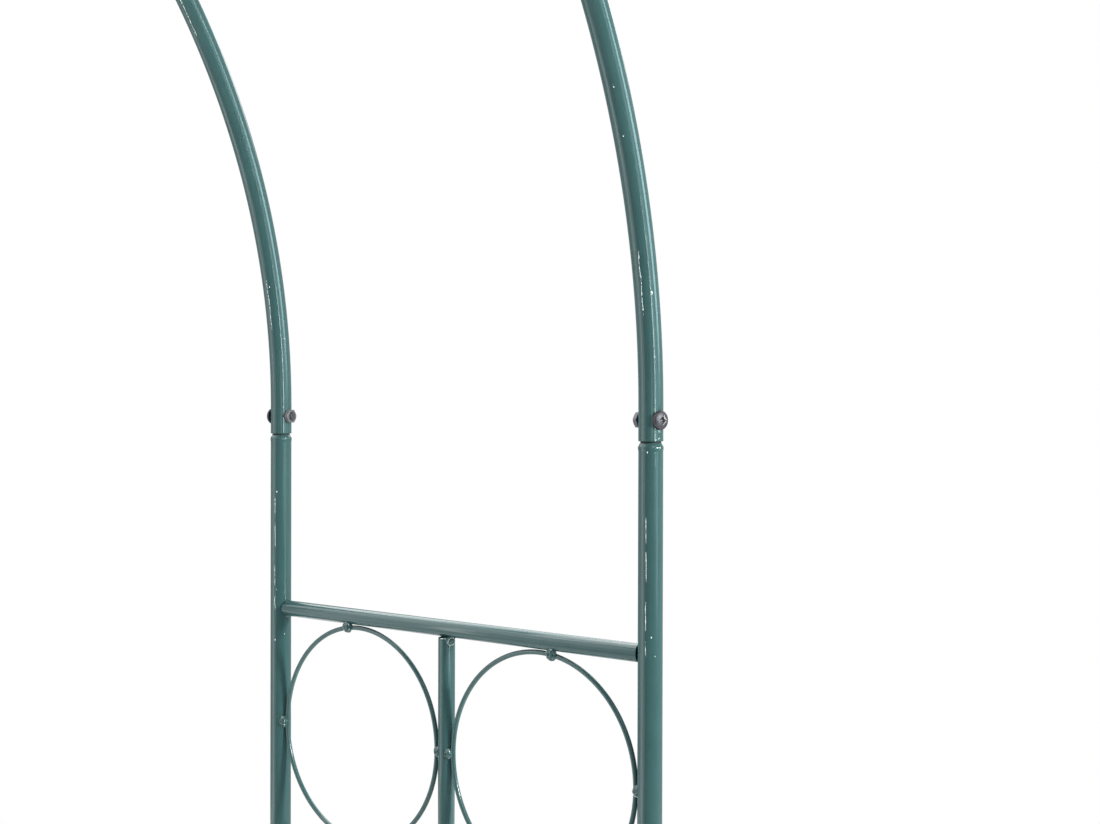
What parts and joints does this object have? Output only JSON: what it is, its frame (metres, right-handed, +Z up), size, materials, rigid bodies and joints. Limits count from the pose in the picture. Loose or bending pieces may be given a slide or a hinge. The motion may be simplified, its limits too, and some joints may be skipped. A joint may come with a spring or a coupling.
{
  "type": "rose arch",
  "caption": "Knock-down garden rose arch of round steel tube: two ladder sides with a band of rings under the top rail, and a half-round roof, bolted at swaged joints.",
  "frame": {"origin": "on the ground, midway between the four feet", "axes": "+X spans the path from the left side to the right side, +Y runs along the path from the front hoop to the rear hoop, +Z is up"},
  "size_m": [1.141, 0.3782, 2.4002],
  "materials": {
    "tube_paint": "glossy dark teal-green powder coat, slightly lumpy, on steel tube, bar and rod",
    "screw_steel": "shiny black-zinc plated steel with a faint violet tint",
    "nut_steel": "dull grey zinc plate",
    "foot_plastic": "moulded black plastic"
  },
  "bodies": {
    "root": {"left_front_lower_upright": "tube_paint", "left_front_upper_upright": "tube_paint", "left_front_hoop": "tube_paint", "left_front_ring": "tube_paint", "left_front_foot_plug": "foot_plastic", "left_front_lower_screw": "screw_steel", "left_front_lower_nut": "nut_steel", "left_front_upper_screw": "screw_steel", "left_front_upper_nut": "nut_steel", "left_rear_lower_upright": "tube_paint", "left_rear_upper_upright": "tube_paint", "left_rear_hoop": "tube_paint", "left_rear_ring": "tube_paint", "left_rear_foot_plug": "foot_plastic", "left_rear_lower_screw": "screw_steel", "left_rear_lower_nut": "nut_steel", "left_rear_upper_screw": "screw_steel", "left_rear_upper_nut": "nut_steel", "left_base_rail": "tube_paint", "left_lower_top_rail": "tube_paint", "left_bottom_rail": "tube_paint", "left_ring_rail": "tube_paint", "left_top_rail": "tube_paint", "left_lower_mullion": "tube_paint", "left_upper_mullion": "tube_paint", "left_ring_mullion": "tube_paint", "left_roof_bar_low": "tube_paint", "left_roof_bar_high": "tube_paint", "right_front_lower_upright": "tube_paint", "right_front_upper_upright": "tube_paint", "right_front_hoop": "tube_paint", "right_front_ring": "tube_paint", "right_front_foot_plug": "foot_plastic", "right_front_lower_screw": "screw_steel", "right_front_lower_nut": "nut_steel", "right_front_upper_screw": "screw_steel", "right_front_upper_nut": "nut_steel", "right_rear_lower_upright": "tube_paint", "right_rear_upper_upright": "tube_paint", "right_rear_hoop": "tube_paint", "right_rear_ring": "tube_paint", "right_rear_foot_plug": "foot_plastic", "right_rear_lower_screw": "screw_steel", "right_rear_lower_nut": "nut_steel", "right_rear_upper_screw": "screw_steel", "right_rear_upper_nut": "nut_steel", "right_base_rail": "tube_paint", "right_lower_top_rail": "tube_paint", "right_bottom_rail": "tube_paint", "right_ring_rail": "tube_paint", "right_top_rail": "tube_paint", "right_lower_mullion": "tube_paint", "right_upper_mullion": "tube_paint", "right_ring_mullion": "tube_paint", "right_roof_bar_low": "tube_paint", "right_roof_bar_high": "tube_paint", "front_crown_screw": "screw_steel", "front_crown_nut": "nut_steel", "rear_crown_screw": "screw_steel", "rear_crown_nut": "nut_steel"}
  },
  "joints": []
}
